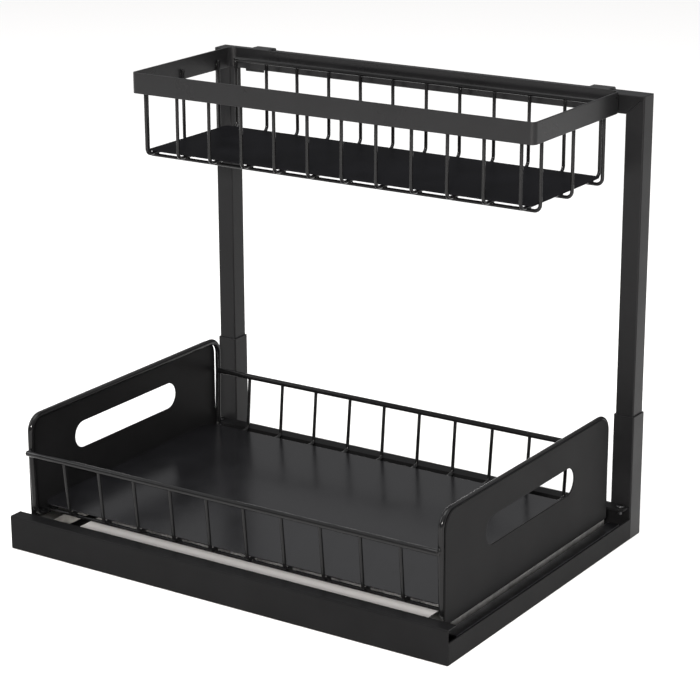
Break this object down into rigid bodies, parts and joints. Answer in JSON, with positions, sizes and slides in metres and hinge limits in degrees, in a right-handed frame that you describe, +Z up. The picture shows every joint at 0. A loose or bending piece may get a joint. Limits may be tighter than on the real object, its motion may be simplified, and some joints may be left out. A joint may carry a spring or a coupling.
{
  "type": "pull out cabinet basket",
  "caption": "Two-tier cabinet organiser: a wire basket with sheet sides slides out on ball-bearing slides, and a smaller wire basket hooks over a rear frame above it.",
  "frame": {"origin": "centre of the footprint, on the shelf that the object stands on", "axes": "+X to the right across the front, +Y to the rear, +Z up; the lower basket pulls out towards -Y"},
  "size_m": [0.4, 0.3008, 0.3585],
  "materials": {
    "powder_coat_sheet": "satin black powder coat on folded sheet steel",
    "powder_coat_tube": "satin black powder coat on steel tube",
    "powder_coat_plate": "satin black powder coat, slightly glossier, on flat steel sheet",
    "powder_coat_wire": "semi-gloss black powder coat on steel wire",
    "zinc_plate": "bright zinc plating",
    "dark_zinc": "black zinc plating",
    "ball_steel": "polished bearing steel",
    "black_screw": "black oxide",
    "bumper_rubber": "matte black rubber"
  },
  "bodies": {
    "fixed_frame": {"side_rail_left": "powder_coat_sheet", "side_rail_right": "powder_coat_sheet", "lower_post_left": "powder_coat_tube", "lower_post_right": "powder_coat_tube", "upper_post_left": "powder_coat_tube", "upper_post_right": "powder_coat_tube", "top_beam": "powder_coat_tube", "post_screws": "black_screw", "rear_crossbar": "powder_coat_sheet", "crossbar_bracket_left": "powder_coat_sheet", "crossbar_bracket_right": "powder_coat_sheet", "crossbar_screws": "black_screw", "base_tie_front": "powder_coat_sheet", "base_tie_rear": "powder_coat_sheet", "slide_outer_left": "dark_zinc", "slide_outer_right": "dark_zinc", "slide_bumper_left": "bumper_rubber", "slide_bumper_right": "bumper_rubber"},
    "ball_cage_left": {"ball_cage_left": "dark_zinc", "slide_balls_left": "ball_steel"},
    "ball_cage_right": {"ball_cage_right": "dark_zinc", "slide_balls_right": "ball_steel"},
    "lower_basket": {"slide_inner_left": "dark_zinc", "slide_inner_right": "dark_zinc", "basket_bracket_left": "zinc_plate", "basket_bracket_right": "zinc_plate", "bracket_screws": "black_screw", "front_bar": "powder_coat_sheet", "side_panel_left": "powder_coat_sheet", "side_panel_right": "powder_coat_sheet", "side_frame_wire_left": "powder_coat_wire", "side_frame_wire_right": "powder_coat_wire", "basket_floor_plate": "powder_coat_plate", "front_top_wire": "powder_coat_wire", "rear_top_wire": "powder_coat_wire", "lower_u_wires": "powder_coat_wire", "floor_cross_wires": "powder_coat_wire"},
    "upper_basket": {"rim_band": "powder_coat_sheet", "upper_rear_top_wire": "powder_coat_wire", "upper_u_wires": "powder_coat_wire", "upper_cross_wires": "powder_coat_wire", "upper_bottom_plate": "powder_coat_plate", "hook_left": "powder_coat_sheet", "hook_right": "powder_coat_sheet"}
  },
  "joints": [
    {"name": "lower_basket_slide", "type": "slide", "parent": "fixed_frame", "child": "lower_basket", "axis": [0, -1, 0], "range_m": [0, 0.18]},
    {"name": "ball_cage_left_slide", "type": "slide", "parent": "fixed_frame", "child": "ball_cage_left", "axis": [0, -1, 0], "range_m": [0, 0.09]},
    {"name": "ball_cage_right_slide", "type": "slide", "parent": "fixed_frame", "child": "ball_cage_right", "axis": [0, -1, 0], "range_m": [0, 0.09]},
    {"name": "upper_basket_lift", "type": "slide", "parent": "fixed_frame", "child": "upper_basket", "axis": [0, 0, 1], "range_m": [0, 0.06]}
  ],
  "couplings": [
    {"joint": "ball_cage_left_slide", "follows": "lower_basket_slide", "ratio": 0.5},
    {"joint": "ball_cage_right_slide", "follows": "lower_basket_slide", "ratio": 0.5}
  ]
}
